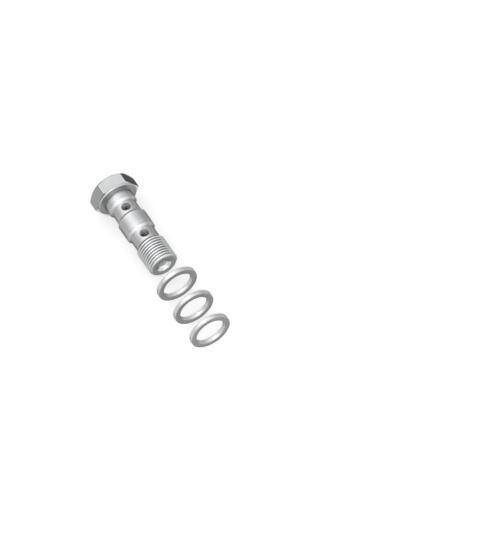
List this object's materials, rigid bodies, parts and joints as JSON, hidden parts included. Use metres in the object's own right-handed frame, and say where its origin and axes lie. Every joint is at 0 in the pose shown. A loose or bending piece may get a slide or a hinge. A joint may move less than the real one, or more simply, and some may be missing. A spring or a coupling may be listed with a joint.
{
  "type": "banjo bolt",
  "caption": "Double-length banjo bolt with hexagon head, cross-drilled necks, central fluid bore and fine thread, with its flat sealing washers set out in line.",
  "frame": {"origin": "on the bolt's axis, at the centre of the seating face under the head", "axes": "+X along the axis from the head to the tip, +Z square to the hexagon flat that faces up, +Y completes a right-handed frame"},
  "size_m": [0.0651, 0.0162, 0.014],
  "materials": {
    "bolt_steel": "bright zinc plate, satin, with fine turning marks",
    "washer_aluminium": "soft aluminium, flat faces finely lapped"
  },
  "bodies": {
    "bolt": {"banjo_bolt": "bolt_steel"},
    "head_washer": {"head_washer": "washer_aluminium"},
    "middle_washer": {"middle_washer": "washer_aluminium"},
    "end_washer": {"end_washer": "washer_aluminium"}
  },
  "joints": [
    {"name": "head_washer_slide", "type": "slide", "parent": "bolt", "child": "head_washer", "axis": [-1, 0, 0], "range_m": [0, 0.0374]},
    {"name": "middle_washer_slide", "type": "slide", "parent": "head_washer", "child": "middle_washer", "axis": [-1, 0, 0], "range_m": [0, 0.009]},
    {"name": "end_washer_slide", "type": "slide", "parent": "middle_washer", "child": "end_washer", "axis": [-1, 0, 0], "range_m": [0, 0.009]}
  ]
}
